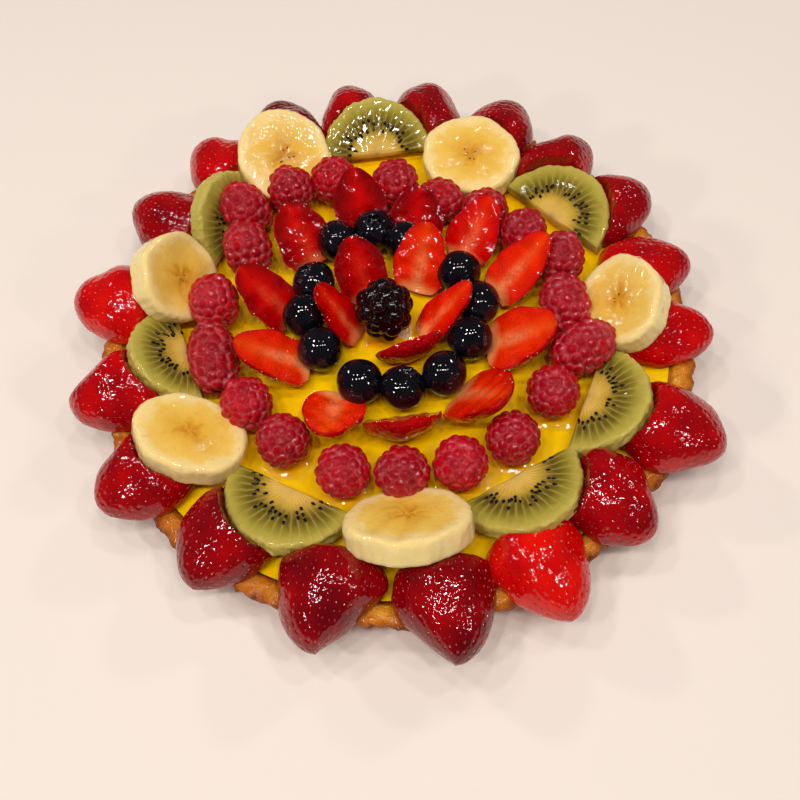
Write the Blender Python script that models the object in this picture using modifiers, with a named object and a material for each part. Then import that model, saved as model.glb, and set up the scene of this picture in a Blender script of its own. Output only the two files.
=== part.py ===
"""Round fruit tart, about 24 cm across, with its fruit laid in rings on a layer of custard.

From the outside in: halved strawberries over the crust's rim, half slices of kiwi and
slices of banana leaning on them, raspberries, strawberry petals, blueberries, five more
petals and one dark berry at the centre. Lengths are in metres, angles in degrees turned
from +X. The tart stands on its flat base at Z = 0, with the middle of the base at the origin.
"""

import math

import bmesh
import bpy
from mathutils import Matrix, Vector
from mathutils.bvhtree import BVHTree

MM = 0.001
GAP = 0.3 * MM           # room left between pieces that touch
CLEARANCE = 0.42 * MM    # how far a neighbour is grown before it cuts its room
TOUCH = 0.1 * MM         # pieces nearer than this are cut clear of each other

# crust and custard
BASE_RADIUS = 108 * MM
RIM_RADIUS = 118 * MM
RIM_HEIGHT = 24.4 * MM
RIM_INNER_RADIUS = 107.5 * MM
FLOOR_THICKNESS = 5 * MM
CUSTARD_HEIGHT = 21.8 * MM
ROUND_STEPS = 32

# fruit
SEAT = CUSTARD_HEIGHT + GAP
RIM_SEAT = RIM_HEIGHT + GAP
RIM_STRAWBERRY_LENGTH = 36 * MM
SLICE_HEADROOM = 18 * MM # nothing lies over a slice within this height
PETAL_HEADROOM = 12 * MM # nothing lies over a petal of the outer ring within this height
KIWI_THICKNESS = 7 * MM
BANANA_THICKNESS = 11 * MM
RASPBERRY_WIDTH = 23.6 * MM
BLUEBERRY_WIDTH = 18.6 * MM
CENTRE_BERRY_WIDTH = 28 * MM
CENTRE_BERRY_HEIGHT = 27 * MM

# Halved strawberries on the rim: angle, reach of the tip (mm), width (mm), and how far the left
# and right sides, seen from the middle of the tart, are drawn in towards the tip
RIM_STRAWBERRIES = (
    (9, 123, 31, 0, 0), (27, 126, 33, 0, 0), (42.5, 125, 33, 0, 0), (60.5, 129, 33, 0, 0),
    (78, 130, 35, 0, 0), (94.5, 132, 31, 0, 0), (110, 133, 32, 0, 0), (127, 131, 33, 0, 0),
    (145, 129, 34, 0.1, 0), (168, 131, 37, 0.1, 0), (189, 128, 37, 0, 0.45), (209, 129, 36, 0, 0.1),
    (231, 124, 38, 0.2, 0), (254, 128, 39, 0.5, 0), (274.5, 131, 38, 0.05, 0.4),
    (292.5, 130, 38, 0.05, 0.2), (311.5, 125, 36, 0.1, 0), (331, 132, 37, 0, 0.1), (353, 124, 32, 0.1, 0),
)

# Half slices of kiwi: angle and radius of the core (mm), yaw, tilt, radius of the slice (mm)
KIWI_SLICES = (
    (90, 92.5, 92, 32, 24.2), (33.3, 85, 41, 15, 24.3), (330.8, 82.5, 333, 24, 23.6),
    (299.5, 81, 294, 21, 24.5), (237.3, 79, 240, 16, 24.8), (183, 84.5, 196, 30, 22.3),
    (137.3, 90, 153, 64, 23),
)

# Slices of banana: angle and radius (mm), yaw, tilt, half its depth and half its width (mm), spin
BANANA_SLICES = (
    (115.5, 96, 115, 27, 20.5, 19.3, 0), (63.2, 90.5, 66, 11, 18.5, 20.8, 0),
    (357.5, 93, 1, 36, 16.5, 19.3, 0), (269.3, 89, 269.5, 36, 16.5, 22, 0),
    (209.2, 92, 207, 20, 21, 16.5, -49), (163, 93, 160, 52, 17, 18, 0),
)

# Raspberries in runs that touch: angle and radius (mm), length (mm), lean outwards, yaw of the lean
RASPBERRY_RUNS = (
    ((105, 74.4, 21, 0, 0), (119, 77.6, 22, 10, 118), (133.5, 82, 25, 50, 134), (145.1, 67.8, 24, 40, 100)),
    ((168, 70.6, 24, 30, 90), (188, 69.9, 31, 80, 98), (208.5, 64.6, 21, 10, 90), (227, 64.1, 20, 0, 0)),
    ((249.8, 65, 20, 0, 0), (268.6, 64, 20, 0, 0), (287.3, 65, 20, 0, 0), (305.8, 67, 20, 0, 0)),
    ((326.5, 67.5, 20, 0, 0), (343.7, 72.9, 28, 80, 20), (358.8, 66.5, 26, 60, 95), (16.5, 71, 23, 30, 80)),
    ((32.5, 66.3, 20, 10, 36), (49, 64, 19, 20, 53), (67, 62, 18, 10, 70), (84.5, 67.8, 20, 10, 86)),
)

# Strawberry petals of the outer ring: angle and radius of the foot (mm), yaw, tilt, length, width
RING_PETALS = (
    (99, 48, 99, 45, 28, 24), (74, 43, 74, 42, 23, 24), (45, 43, 50, 42, 28, 22),
    (15, 42.5, 28, 42, 33, 21), (342.5, 38.3, 348, 40, 31, 27), (306, 38.3, 316, 50, 33, 27),
    (270, 38, 272, 60, 22, 30), (230, 34.7, 258, 34, 30, 24), (201, 36.2, 178, 40, 33, 22),
    (167, 40.3, 150, 48, 31, 22), (130.5, 45.4, 118, 48, 28, 24),
)

# Strawberry petals round the centre: angle and radius of the foot (mm), yaw, tilt, length, width
INNER_PETALS = (
    (118, 18, 108, 50, 27, 23), (60, 20, 66, 50, 29, 23), (338, 11, 22, 45, 31, 15),
    (300, 9, 285, 66, 18, 28), (186, 14, 148, 60, 31, 15),
)

# Blueberries in runs that touch: angle and radius (mm)
BLUEBERRY_RUNS = (
    ((115, 45.4), (95, 45.6), (77.3, 38)),
    ((35.5, 34.5), (8.3, 34.2), (339.5, 30.8)),
    ((305, 30.5), (272.8, 29.2), (240.3, 29)),
    ((198, 30.2), (169.5, 34.7), (144, 37)),
)


def material(name, colour, roughness):
    made = bpy.data.materials.new(name)
    made.use_nodes = True
    shader = made.node_tree.nodes["Principled BSDF"]
    shader.inputs["Base Color"].default_value = (*colour, 1)
    shader.inputs["Roughness"].default_value = roughness
    shader.inputs["Metallic"].default_value = 0
    return made


def evaluated_mesh(holder):
    """The mesh of an object with its modifiers carried out."""
    seen = holder.evaluated_get(bpy.context.evaluated_depsgraph_get())
    return bpy.data.meshes.new_from_object(seen)


def turned(profile, steps):
    """A body turned about Z from (radius, height) points that run from top to bottom."""
    line = bpy.data.meshes.new("profile")
    edges = [(i, i + 1) for i in range(len(profile) - 1)]
    line.from_pydata([(radius, 0, height) for radius, height in profile], edges, [])
    holder = bpy.data.objects.new("profile", line)
    scene.collection.objects.link(holder)
    screw = holder.modifiers.new("turn", "SCREW")
    screw.steps = steps
    screw.render_steps = steps
    screw.use_merge_vertices = True
    screw.merge_threshold = 0.00001
    body = evaluated_mesh(holder)
    bpy.data.objects.remove(holder)
    return body


def halved(mesh, toward):
    """Cuts a mesh at the origin, keeps the side that toward points to and closes the cut."""
    work = bmesh.new()
    work.from_mesh(mesh)
    everything = work.verts[:] + work.edges[:] + work.faces[:]
    bmesh.ops.bisect_plane(work, geom=everything, dist=0.00001, plane_co=(0, 0, 0),
                           plane_no=toward, clear_inner=True)
    rim = [edge for edge in work.edges if edge.is_boundary]
    bmesh.ops.edgeloop_fill(work, edges=rim)
    bmesh.ops.recalc_face_normals(work, faces=work.faces[:])
    work.to_mesh(mesh)
    work.free()
    return mesh


def place(name, mesh, finish, turn, angle, radius, seat):
    """An object turned by a matrix, set out at an angle and radius and lowered to its seat."""
    mesh.materials.clear()
    mesh.materials.append(finish)
    body = bpy.data.objects.new(name, mesh)
    tart.objects.link(body)
    low = min((turn @ vertex.co).z for vertex in mesh.vertices)
    out = math.radians(angle)
    spot = Vector((radius * math.cos(out), radius * math.sin(out), seat - low))
    body.matrix_world = Matrix.Translation(spot) @ turn
    return body


def facing(yaw, tilt, spin=0):
    """Turns +X outwards along the yaw and lifts it by the tilt, after a spin about Z."""
    swing = Matrix.Rotation(math.radians(yaw), 4, "Z")
    lift = Matrix.Rotation(math.radians(-tilt), 4, "Y")
    return swing @ lift @ Matrix.Rotation(math.radians(spin), 4, "Z")


def surface(body, proud=0.0):
    """The world-space points and faces of an object, pushed out along its normals."""
    points = [body.matrix_world @ (vertex.co + vertex.normal * proud)
              for vertex in body.data.vertices]
    return points, [tuple(face.vertices) for face in body.data.polygons]


def needs_room(body, other):
    """Whether an object comes within touching distance of another one."""
    ours = BVHTree.FromPolygons(*surface(body))
    theirs = BVHTree.FromPolygons(*surface(other, TOUCH))
    return bool(ours.overlap(theirs))


def carry_out(body, operation, other):
    """Joins another object to this one, or cuts it away, and keeps the largest piece."""
    change = body.modifiers.new("change", "BOOLEAN")
    change.operation = operation
    change.solver = "EXACT"
    change.object = other
    result = evaluated_mesh(body)
    body.modifiers.clear()
    body.data = keep_largest(result)


def keep_largest(mesh):
    """Drops crumbs that a cut leaves beside the main piece, and closes up tiny edges."""
    work = bmesh.new()
    work.from_mesh(mesh)
    bmesh.ops.remove_doubles(work, verts=work.verts[:], dist=0.00002)
    bmesh.ops.dissolve_degenerate(work, dist=0.00002, edges=work.edges[:])
    bmesh.ops.dissolve_limit(work, angle_limit=math.radians(0.1), verts=work.verts[:],
                             edges=work.edges[:])
    islands = []
    left = set(work.verts)
    while left:
        island = {left.pop()}
        edge_of_island = list(island)
        while edge_of_island:
            vertex = edge_of_island.pop()
            near = {edge.other_vert(vertex) for edge in vertex.link_edges} & left
            left -= near
            island |= near
            edge_of_island.extend(near)
        islands.append(island)
    islands.sort(key=len)
    for island in islands[:-1]:
        bmesh.ops.delete(work, geom=list(island), context="VERTS")
    work.to_mesh(mesh)
    work.free()
    return mesh


def make_room(body):
    """Cuts an object back where a piece laid before it lies on it or presses on its side."""
    for other in [room for rooms in laid.values() for room in rooms]:
        if not needs_room(body, other):
            continue
        points, faces = surface(other, CLEARANCE)
        shape = bpy.data.meshes.new("room")
        shape.from_pydata(points, [], faces)
        cutter = bpy.data.objects.new("room", shape)
        cutters.objects.link(cutter)
        carry_out(body, "DIFFERENCE", cutter)
        bpy.data.objects.remove(cutter)


def remember(body, headroom=0.0):
    """Keeps a copy of a whole piece, with the space above it up to a height, as its room."""
    work = bmesh.new()
    work.from_mesh(body.data)
    work.transform(body.matrix_world)
    if headroom:
        above = bmesh.ops.duplicate(work, geom=work.verts[:])["geom"]
        bmesh.ops.translate(work, verts=above, vec=(0, 0, headroom))
        hull = bmesh.ops.convex_hull(work, input=work.verts[:])
        spare = set(hull["geom_interior"]) | set(hull["geom_unused"])
        spare = [part for part in spare if isinstance(part, bmesh.types.BMVert)]
        bmesh.ops.delete(work, geom=spare, context="VERTS")
        inside = [face for face in work.faces if face not in set(hull["geom"])]
        bmesh.ops.delete(work, geom=inside, context="FACES_ONLY")
    shape = bpy.data.meshes.new("whole")
    work.to_mesh(shape)
    work.free()
    whole = bpy.data.objects.new("whole", shape)
    cutters.objects.link(whole)
    whole.hide_render = True
    whole.display_type = "WIRE"
    return whole


def lay(body, wholes=None):
    """Adds a piece under those already laid, with their room cut out of it."""
    wholes = wholes or [remember(body)]
    make_room(body)
    laid[body.name] = wholes
    return body


def take_headroom(pieces, headroom):
    """Keeps the space above pieces free as well, for those laid under them."""
    for piece in pieces:
        laid[piece.name] = [remember(piece, headroom)]


def strawberry_half(length, width, height, rings, steps):
    """Half a strawberry lying on its cut face, hulled end at the origin and tip along +X."""
    shoulder = 0.24
    point = 0.5
    fullest = shoulder / (shoulder + point)
    most = fullest ** shoulder * (1 - fullest) ** point
    profile = [(0, 0)]
    for ring in range(rings):
        along = 0.02 + 0.97 * (1 - math.cos(math.pi * ring / (rings - 1))) / 2
        round_it = along ** shoulder * (1 - along) ** point / most
        profile.append((width / 2 * round_it, -length * along))
    profile.append((0, -length))
    mesh = turned(profile, steps)
    mesh.transform(Matrix.Rotation(math.radians(-90), 4, "Y"))
    mesh.transform(Matrix.Diagonal((1, 1, 2 * height / width, 1)))
    return halved(mesh, (0, 0, 1))


def tapered(mesh, length, left, right):
    """A strawberry half with its left and right sides drawn in towards the tip."""
    for vertex in mesh.vertices:
        to_tip = min(1, max(0.03, (1 - vertex.co.x / length) / 0.68))
        vertex.co.y *= to_tip ** (left if vertex.co.y > 0 else right)
    return mesh


def knobbly_berry(width, height, rows, steps, knob):
    """A berry of round beads in staggered rows, its flat base down and its middle at the origin."""
    profile = [(0, height)]
    for row in range(rows):
        up = math.radians(72 - 118 * row / (rows - 1))
        profile.append((width / 2 * math.cos(up), height * (0.42 + 0.58 * math.sin(up))))
    profile.append((0, profile[-1][1]))
    mesh = turned(profile, steps)
    for vertex in mesh.vertices:
        away = Vector((vertex.co.x, vertex.co.y, 0))
        if away.length < width / 20:
            continue
        row = round(vertex.co.z / height * rows)
        column = round(math.atan2(away.y, away.x) / math.tau * steps)
        push = knob if (row + column) % 2 else -knob / 2
        vertex.co += away.normalized() * push
    mesh.transform(Matrix.Translation((0, 0, -height / 2)))
    work = bmesh.new()
    work.from_mesh(mesh)
    bmesh.ops.triangulate(work, faces=work.faces[:])
    work.to_mesh(mesh)
    work.free()
    return mesh


def slice_disc(radius_out, radius_across, thickness, steps, waves):
    """A round slice with eased edges, a little wavy, lying on Z = 0."""
    ease = thickness / 6
    profile = [(0, thickness), (1 - ease / radius_out, thickness), (1, thickness - ease),
               (1 - ease / radius_out, 0), (0, 0)]
    mesh = turned(profile, steps)
    for vertex in mesh.vertices:
        around = math.atan2(vertex.co.y, vertex.co.x)
        wave = 1 + 0.018 * math.cos(waves * around)
        vertex.co.x *= radius_out * wave
        vertex.co.y *= radius_across * wave
    return mesh


def make_crust():
    """The shell: flat base, wall that leans out, rounded rim and a hollow for the custard."""
    profile = (
        (0, FLOOR_THICKNESS), (RIM_INNER_RADIUS - 7 * MM, FLOOR_THICKNESS),
        (RIM_INNER_RADIUS, CUSTARD_HEIGHT - 1 * MM), (RIM_INNER_RADIUS + 2.5 * MM, RIM_HEIGHT - 0.6 * MM),
        (RIM_INNER_RADIUS + 5 * MM, RIM_HEIGHT), (RIM_RADIUS - 2.5 * MM, RIM_HEIGHT - 0.3 * MM),
        (RIM_RADIUS, RIM_HEIGHT - 2.2 * MM), (RIM_RADIUS - 1.6 * MM, RIM_HEIGHT - 5 * MM),
        (BASE_RADIUS + 1.5 * MM, 2.5 * MM), (BASE_RADIUS, 0), (0, 0),
    )
    mesh = turned(profile, ROUND_STEPS)
    for vertex in mesh.vertices:
        away = math.hypot(vertex.co.x, vertex.co.y)
        if away > RIM_INNER_RADIUS + MM and vertex.co.z > RIM_HEIGHT / 2:
            around = math.atan2(vertex.co.y, vertex.co.x)
            ragged = 0.5 * math.sin(11 * around) + 0.3 * math.sin(17 * around + 1)
            stretch = 1 + ragged * MM / away
            vertex.co.x *= stretch
            vertex.co.y *= stretch
            vertex.co.z -= 0.25 * MM * (1 + math.sin(7 * around + 2))
    return mesh


def make_custard():
    """The custard that fills the shell up to a little below its rim."""
    floor = FLOOR_THICKNESS + GAP
    lean = 7 * MM / (CUSTARD_HEIGHT - 1 * MM - FLOOR_THICKNESS)
    top_radius = RIM_INNER_RADIUS - 1.4 * GAP
    foot_radius = top_radius - lean * (CUSTARD_HEIGHT - 1 * MM - floor)
    profile = ((0, CUSTARD_HEIGHT), (top_radius - 2 * MM, CUSTARD_HEIGHT),
               (top_radius, CUSTARD_HEIGHT - 1 * MM), (foot_radius, floor), (0, floor))
    return turned(profile, ROUND_STEPS)


def blueberry():
    """A blueberry with the shallow crown at its top."""
    half = BLUEBERRY_WIDTH / 2
    profile = [(0, 0.62 * half), (0.36 * half, 0.84 * half)]
    for step in range(3):
        up = math.radians(22 - 36 * step)
        profile.append((half * math.cos(up), 0.9 * half * math.sin(up)))
    profile.append((0, -0.9 * half))
    return turned(profile, 9)


def lay_run(name, bodies):
    """Joins a run of berries that touch into one piece and lays it."""
    run = bodies[0]
    run.name = name
    wholes = [remember(berry) for berry in bodies]
    for berry in bodies[1:]:
        carry_out(run, "UNION", berry)
        bpy.data.objects.remove(berry)
    lay(run, wholes)


scene = bpy.context.scene
for leftover in list(bpy.data.objects):
    bpy.data.objects.remove(leftover)
tart = bpy.data.collections.new("fruit_tart")
scene.collection.children.link(tart)
cutters = bpy.data.collections.new("cutters")
scene.collection.children.link(cutters)
laid = {}

strawberry_red = material("strawberry", (0.55, 0.01, 0.015), 0.25)
strawberry_flesh = material("strawberry_flesh", (0.75, 0.04, 0.02), 0.25)
raspberry_red = material("raspberry", (0.42, 0.01, 0.04), 0.3)
blueberry_black = material("blueberry", (0.012, 0.011, 0.02), 0.2)
dark_berry = material("dark_berry", (0.02, 0.003, 0.008), 0.15)
kiwi_green = material("kiwi", (0.45, 0.5, 0.1), 0.3)
banana_cream = material("banana", (0.85, 0.72, 0.4), 0.35)
custard_yellow = material("custard", (0.86, 0.5, 0.02), 0.3)
baked_crust = material("crust", (0.68, 0.34, 0.1), 0.6)

# The dark berry at the centre, then the pieces round it, each cut back to clear those above
centre_berry = knobbly_berry(CENTRE_BERRY_WIDTH, CENTRE_BERRY_HEIGHT, 7, 13, 0.8 * MM)
lay(place("centre_bramble", centre_berry, dark_berry, facing(0, 0), 134, 4 * MM, SEAT))

# Petals stand on their hulled end with the cut face up, so that their round side leans down
flip = Matrix.Rotation(math.radians(180), 4, "X")
for number, (angle, radius, yaw, tilt, length, width) in enumerate(INNER_PETALS, 1):
    petal = strawberry_half(length * MM, width * MM, 7.5 * MM, 5, 10)
    turn = facing(yaw, tilt) @ flip
    lay(place(f"inner_petal_{number}", petal, strawberry_flesh, turn, angle, radius * MM, SEAT))

ring_petals = []
for number, (angle, radius, yaw, tilt, length, width) in enumerate(RING_PETALS, 1):
    petal = strawberry_half(length * MM, width * MM, 8.5 * MM, 5, 10)
    turn = facing(yaw, tilt) @ flip
    petal = place(f"ring_petal_{number}", petal, strawberry_flesh, turn, angle, radius * MM, SEAT)
    ring_petals.append(lay(petal))

for number, spots in enumerate(BLUEBERRY_RUNS, 1):
    berries = [place("berry", blueberry(), blueberry_black, facing(0, 0), angle, radius * MM, SEAT)
               for angle, radius in spots]
    lay_run(f"blueberry_run_{number}", berries)

# The raspberries reach in under the petals of the outer ring
take_headroom(ring_petals, PETAL_HEADROOM)
for number, spots in enumerate(RASPBERRY_RUNS, 1):
    berries = []
    for angle, radius, length, lean, yaw in spots:
        berry = knobbly_berry(RASPBERRY_WIDTH, length * MM, 5, 9, 0.5 * MM)
        turn = Matrix.Rotation(math.radians(yaw), 4, "Z") @ Matrix.Rotation(math.radians(lean), 4, "Y")
        berries.append(place("berry", berry, raspberry_red, turn, angle, radius * MM, SEAT))
    lay_run(f"raspberry_run_{number}", berries)

slices = []
for number, (angle, radius, yaw, tilt, across) in enumerate(KIWI_SLICES, 1):
    kiwi = halved(slice_disc(across * MM, across * MM, KIWI_THICKNESS, 16, 3), (1, 0, 0))
    turn = facing(yaw, tilt)
    kiwi = place(f"kiwi_slice_{number}", kiwi, kiwi_green, turn, angle, radius * MM, SEAT)
    slices.append(lay(kiwi))

for number, (angle, radius, yaw, tilt, deep, wide, spin) in enumerate(BANANA_SLICES, 1):
    banana = slice_disc(deep * MM, wide * MM, BANANA_THICKNESS, 14, 5)
    turn = facing(yaw, tilt, spin)
    banana = place(f"banana_slice_{number}", banana, banana_cream, turn, angle, radius * MM, SEAT)
    slices.append(lay(banana))

# The halved strawberries on the rim reach in under the slices
take_headroom(slices, SLICE_HEADROOM)
for number, (angle, reach, width, left, right) in enumerate(RIM_STRAWBERRIES, 1):
    half = strawberry_half(RIM_STRAWBERRY_LENGTH, width * MM, 0.43 * width * MM, 6, 12)
    tapered(half, RIM_STRAWBERRY_LENGTH, left, right)
    turn = facing(angle, 0)
    lay(place(f"rim_strawberry_{number:02d}", half, strawberry_red, turn, angle,
              reach * MM - RIM_STRAWBERRY_LENGTH, RIM_SEAT))

lay(place("custard", make_custard(), custard_yellow, facing(0, 0), 0, 0, FLOOR_THICKNESS + GAP))
lay(place("crust", make_crust(), baked_crust, facing(0, 0), 0, 0, 0))
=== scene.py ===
import math

import bmesh
import bpy
import numpy as np
from mathutils import Matrix, Vector
from mathutils.bvhtree import BVHTree
from mathutils.kdtree import KDTree


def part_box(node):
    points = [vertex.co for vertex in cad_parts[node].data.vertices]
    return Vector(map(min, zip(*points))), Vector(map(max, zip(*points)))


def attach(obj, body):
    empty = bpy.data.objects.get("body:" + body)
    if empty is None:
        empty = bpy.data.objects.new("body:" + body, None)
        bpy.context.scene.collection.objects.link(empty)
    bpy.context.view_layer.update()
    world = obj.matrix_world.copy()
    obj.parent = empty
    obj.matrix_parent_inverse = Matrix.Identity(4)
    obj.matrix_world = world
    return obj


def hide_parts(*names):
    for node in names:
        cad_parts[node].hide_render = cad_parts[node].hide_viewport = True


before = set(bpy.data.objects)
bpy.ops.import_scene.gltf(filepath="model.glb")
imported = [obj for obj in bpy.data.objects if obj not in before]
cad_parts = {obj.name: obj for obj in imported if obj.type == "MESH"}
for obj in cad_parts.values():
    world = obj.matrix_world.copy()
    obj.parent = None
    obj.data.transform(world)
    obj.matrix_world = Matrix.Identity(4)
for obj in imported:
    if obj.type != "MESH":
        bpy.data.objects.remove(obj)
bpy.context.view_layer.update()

MM = 0.001


# ---------------------------------------------------------------- baked crust
# The shell is shortcrust pastry pressed into a round tin and baked: a flat base, a wall that
# leans out and a flat rim about 10 mm wide. It is crumbly and uneven, golden on the rim where
# jelly was brushed on, and darker brown at its outer edge and on the wall.

def uneven(points, size, seed):
    """Smooth unevenness, about -1 to 1, at points, with bumps of about the given size."""
    dice = np.random.default_rng(seed)
    total = np.zeros(len(points))
    for _ in range(8):
        way = dice.normal(size=3)
        way *= math.tau / size * dice.uniform(0.6, 1.5) / np.linalg.norm(way)
        total += np.sin(points @ way + dice.uniform(0, math.tau))
    return total / 2.6


def loft(rings):
    """Points and faces of a closed body through rings of equal counts, with both ends closed."""
    count, around = rings.shape[:2]
    points = np.concatenate([rings.reshape(-1, 3), rings[:1].mean(1), rings[-1:].mean(1)])
    faces = []
    for ring in range(count - 1):
        here = ring * around
        for step in range(around):
            ahead = (step + 1) % around
            faces.append((here + step, here + ahead, here + around + ahead, here + around + step))
    last = (count - 1) * around
    for step in range(around):
        ahead = (step + 1) % around
        faces.append((count * around, ahead, step))
        faces.append((count * around + 1, last + step, last + ahead))
    return points, faces


def piece(name, points, faces, finish, **labels):
    """A shown piece, smooth but for its sharp edges."""
    mesh = bpy.data.meshes.new(name)
    mesh.from_pydata(points, [], faces, shade_flat=False)
    work = bmesh.new()
    work.from_mesh(mesh)
    bmesh.ops.recalc_face_normals(work, faces=work.faces[:])
    work.to_mesh(mesh)
    work.free()
    mesh.set_sharp_from_angle(angle=math.radians(55))
    for label, values in labels.items():
        values = np.broadcast_to(np.asarray(values, np.float32), (len(points),))
        mesh.attributes.new(label, "FLOAT", "POINT").data.foreach_set("value", values.copy())
    mesh.materials.append(finish)
    made = bpy.data.objects.new(name, mesh)
    bpy.context.scene.collection.objects.link(made)
    return made


def paint(red, green, blue):
    """A colour given as 0 to 255 screen values, as the shaders take it."""
    def linear(value):
        value /= 255
        return value / 12.92 if value <= 0.04045 else ((value + 0.055) / 1.055) ** 2.4
    return linear(red), linear(green), linear(blue), 1


def new_finish(name, roughness, coat=0.0, coat_roughness=0.05, sheer=0.0):
    """A material with its gloss set, and its node tree and shader for the rest. Glazed food
    shines from its glaze, the coat, and hardly at all from under it."""
    finish = bpy.data.materials.new(name)
    finish.use_nodes = True
    shader = finish.node_tree.nodes["Principled BSDF"]
    shader.inputs["Roughness"].default_value = roughness
    shader.inputs["Specular IOR Level"].default_value = sheer
    shader.inputs["Coat Weight"].default_value = coat
    shader.inputs["Coat Roughness"].default_value = coat_roughness
    shader.inputs["Coat IOR"].default_value = 1.45
    return finish, finish.node_tree, shader


def add_node(tree, kind, inputs=None, **settings):
    """A shader node, its inputs set to values or linked from other nodes' outputs."""
    made = tree.nodes.new(kind)
    for setting, value in settings.items():
        setattr(made, setting, value)
    for place, value in (inputs or {}).items():
        if isinstance(value, bpy.types.NodeSocket):
            tree.links.new(value, made.inputs[place])
        else:
            made.inputs[place].default_value = value
    return made


def blotches(tree, size, detail=3.0, stretch=(1, 1, 1)):
    """Noise of about the given size over the piece, between 0 and 1."""
    where = add_node(tree, "ShaderNodeTexCoord").outputs["Object"]
    where = add_node(tree, "ShaderNodeMapping", {"Vector": where, "Scale": stretch}).outputs["Vector"]
    noise = add_node(tree, "ShaderNodeTexNoise", {"Vector": where, "Scale": 1 / size, "Detail": detail})
    return noise.outputs["Fac"]


def label_of(tree, name):
    """A value that the mesh carries at each point."""
    return add_node(tree, "ShaderNodeAttribute", attribute_name=name).outputs["Fac"]


def shades(tree, amount, *stops):
    """A run of colours along an amount: (place, colour) pairs."""
    run = add_node(tree, "ShaderNodeValToRGB", {"Fac": amount})
    ramp = run.color_ramp
    while len(ramp.elements) < len(stops):
        ramp.elements.new(0.5)
    for element, (place, colour) in zip(ramp.elements, stops):
        element.position = place
        element.color = colour
    return run.outputs["Color"]


def fade(tree, amount, start, end, low=0.0, high=1.0):
    """A soft step from low to high as an amount goes from start to end."""
    step = add_node(tree, "ShaderNodeMapRange", {"Value": amount, "From Min": start, "From Max": end, "To Min": low,
                                                 "To Max": high}, interpolation_type="SMOOTHSTEP")
    return step.outputs["Result"]


def times(tree, first, second):
    """first * second."""
    product = add_node(tree, "ShaderNodeMath", operation="MULTIPLY")
    for place, value in enumerate((first, second)):
        if isinstance(value, bpy.types.NodeSocket):
            tree.links.new(value, product.inputs[place])
        else:
            product.inputs[place].default_value = value
    return product.outputs["Value"]


def sum_of(tree, first, second, factor=1.0):
    """first + second * factor."""
    sums = add_node(tree, "ShaderNodeMath", operation="MULTIPLY_ADD")
    for place, value in enumerate((second, factor, first)):
        if isinstance(value, bpy.types.NodeSocket):
            tree.links.new(value, sums.inputs[place])
        else:
            sums.inputs[place].default_value = value
    return sums.outputs["Value"]


def blend_colours(tree, amount, under, over):
    """One colour laid over another by an amount."""
    mixed = add_node(tree, "ShaderNodeMix", data_type="RGBA")
    for place, value in ((0, amount), (6, under), (7, over)):
        if isinstance(value, bpy.types.NodeSocket):
            tree.links.new(value, mixed.inputs[place])
        else:
            mixed.inputs[place].default_value = value
    return mixed.outputs[2]


def relief(tree, shader, height, depth, place="Normal"):
    """Fine relief of the given depth in metres from a height between 0 and 1."""
    bump = add_node(tree, "ShaderNodeBump", {"Height": height, "Distance": depth, "Strength": 1.0})
    tree.links.new(bump.outputs["Normal"], shader.inputs[place])


baked, tree, shader = new_finish("baked_crust", 0.6, coat=0.5, coat_roughness=0.12, sheer=0.1)
browning = label_of(tree, "browning")
patchy = sum_of(tree, sum_of(tree, browning, blotches(tree, 9 * MM), 0.9), blotches(tree, 2.2 * MM), 0.5)
tree.links.new(shades(tree, sum_of(tree, -0.45, patchy), (0.0, paint(236, 172, 64)), (0.3, paint(212, 132, 30)),
                      (0.55, paint(188, 100, 14)), (0.8, paint(134, 56, 8)), (1.0, paint(76, 28, 6))),
               shader.inputs["Base Color"])
relief(tree, shader, sum_of(tree, blotches(tree, 1.1 * MM, 5), blotches(tree, 3.5 * MM), 1.2), 0.9 * MM)
relief(tree, shader, sum_of(tree, blotches(tree, 1.6 * MM, 2), blotches(tree, 4 * MM), 1.2), 0.5 * MM, "Coat Normal")

crust_low, crust_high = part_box("crust")
custard_low, custard_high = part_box("custard")
rim_radius = (crust_high.x - crust_low.x) / 2 - 0.6 * MM
rim_top = crust_high.z
hollow_radius = (custard_high.x - custard_low.x) / 2 + 0.4 * MM
crust_profile = (
    (1, 5), (hollow_radius / MM - 7, 5), (hollow_radius / MM, 20.6), (hollow_radius / MM + 1.2, 22.8),
    (hollow_radius / MM + 3, rim_top / MM - 0.7), (hollow_radius / MM + 5, rim_top / MM - 0.5),
    (rim_radius / MM - 3, rim_top / MM - 0.9), (rim_radius / MM - 1, rim_top / MM - 1.8),
    (rim_radius / MM - 0.4, rim_top / MM - 3.2), (rim_radius / MM - 2, rim_top / MM - 5.4),
    (109.5, 3), (108.2, 0.8), (107.4, 0), (1, 0),
)
crust_outline = []
for (radius, height), (next_radius, next_height) in zip(crust_profile, crust_profile[1:]):
    length = math.hypot(next_radius - radius, next_height - height)
    pieces_of_it = 1 if radius < 2 or next_radius < 2 else max(1, round(length / 0.8))
    for part in range(pieces_of_it):
        share = part / pieces_of_it
        crust_outline.append((radius + share * (next_radius - radius), height + share * (next_height - height)))
crust_outline.append(crust_profile[-1])
crust_outline = np.array(crust_outline) * MM
bearing = np.linspace(0, math.tau, 560, endpoint=False)
rings = np.stack([crust_outline[:, :1] * np.cos(bearing), crust_outline[:, :1] * np.sin(bearing),
                  np.broadcast_to(crust_outline[:, 1:], (len(crust_outline), 560))], axis=-1)
points, faces = loft(rings)
away = np.hypot(points[:, 0], points[:, 1])
outer = np.clip((away - hollow_radius - 1 * MM) / (3 * MM), 0, 1) * np.clip(points[:, 2] / (3 * MM), 0, 1)
push = outer * (0.55 * uneven(points, 22 * MM, 1) + 0.4 * uneven(points, 6 * MM, 2) + 0.22 * uneven(points, 2.2 * MM, 3)) * MM
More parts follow.
